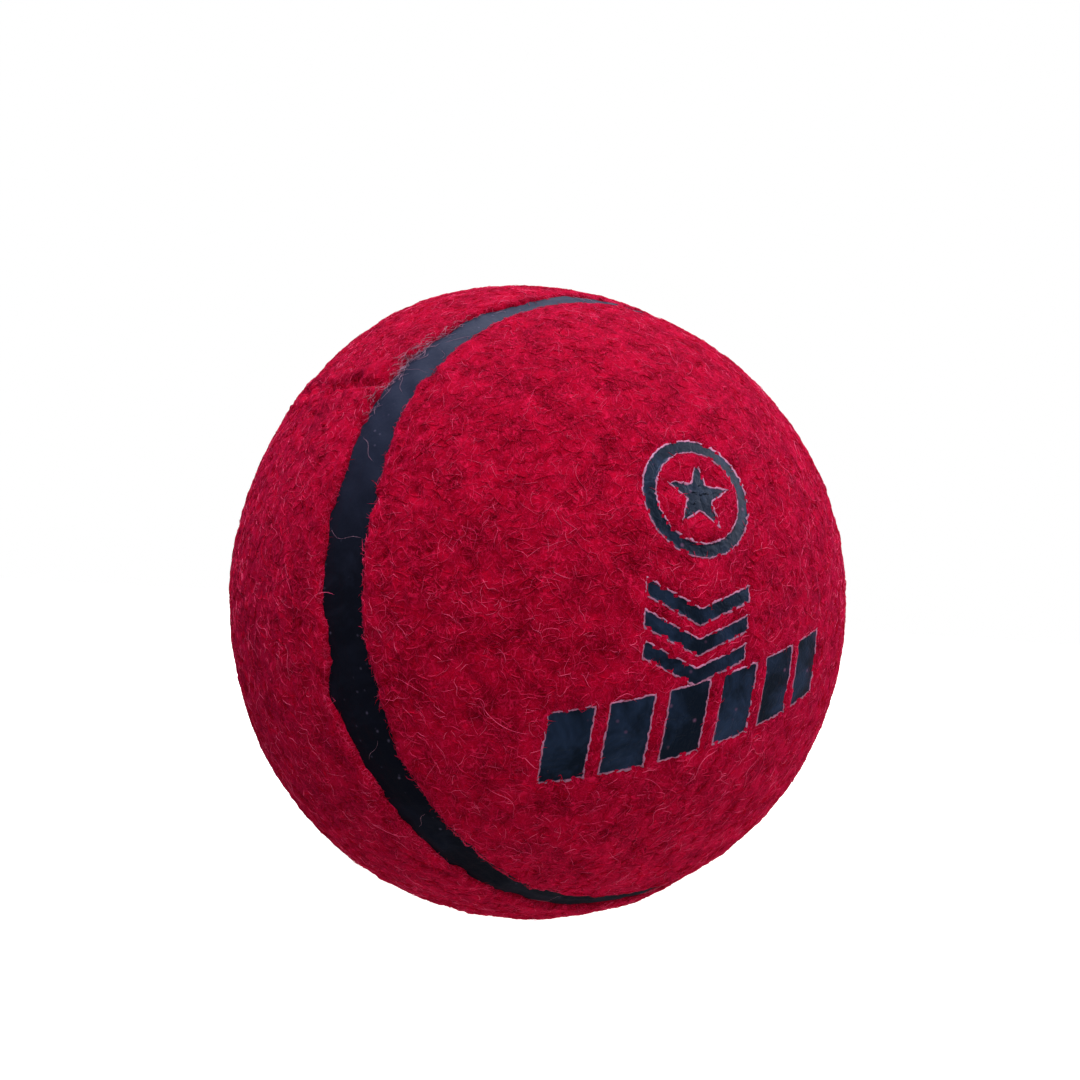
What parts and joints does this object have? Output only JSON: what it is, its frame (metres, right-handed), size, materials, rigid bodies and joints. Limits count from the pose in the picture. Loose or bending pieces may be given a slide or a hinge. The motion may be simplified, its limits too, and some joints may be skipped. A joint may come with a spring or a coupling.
{
  "type": "felt-covered cricket ball",
  "caption": "Red felt-covered cricket ball with a hollow rubber core, dumbbell-shaped felt panels and a black rubber seam between them.",
  "frame": {"origin": "centre of the ball", "axes": "+Y along the axis about which the seam pattern repeats, through the waist of panel A; +X through the middle of panel A's printed round lobe; +Z through a round lobe of panel B, up as the ball is shown"},
  "size_m": [0.066, 0.066, 0.066],
  "materials": {
    "felt": "short dense brushed wool and nylon nap, matt, deep red",
    "backing_cloth": "plain woven cloth, dyed with the nap",
    "seam_rubber": "satin black vulcanised rubber with fine lengthwise ridges and lint",
    "core_rubber": "matt dark grey moulded rubber, ground rough on the outside",
    "cement": "dried brushed rubber cement, amber, slightly glossy",
    "ink_film": "heat-pressed dark navy film with a soft gloss and a ragged edge"
  },
  "bodies": {
    "root": {"core_cup_left": "core_rubber", "core_cup_right": "core_rubber", "core_joint_cement": "cement", "panel_cement_a": "cement", "panel_cement_b": "cement", "felt_backing_a": "backing_cloth", "felt_backing_b": "backing_cloth", "felt_nap_a": "felt", "felt_nap_b": "felt", "seam_rubber": "seam_rubber", "badge_ring": "ink_film", "badge_star": "ink_film", "badge_chevron_upper": "ink_film", "badge_chevron_middle": "ink_film", "badge_chevron_lower": "ink_film", "print_block_1": "ink_film", "print_block_2": "ink_film", "print_block_3": "ink_film", "print_block_4": "ink_film", "print_block_5": "ink_film", "print_block_6": "ink_film"}
  },
  "joints": []
}
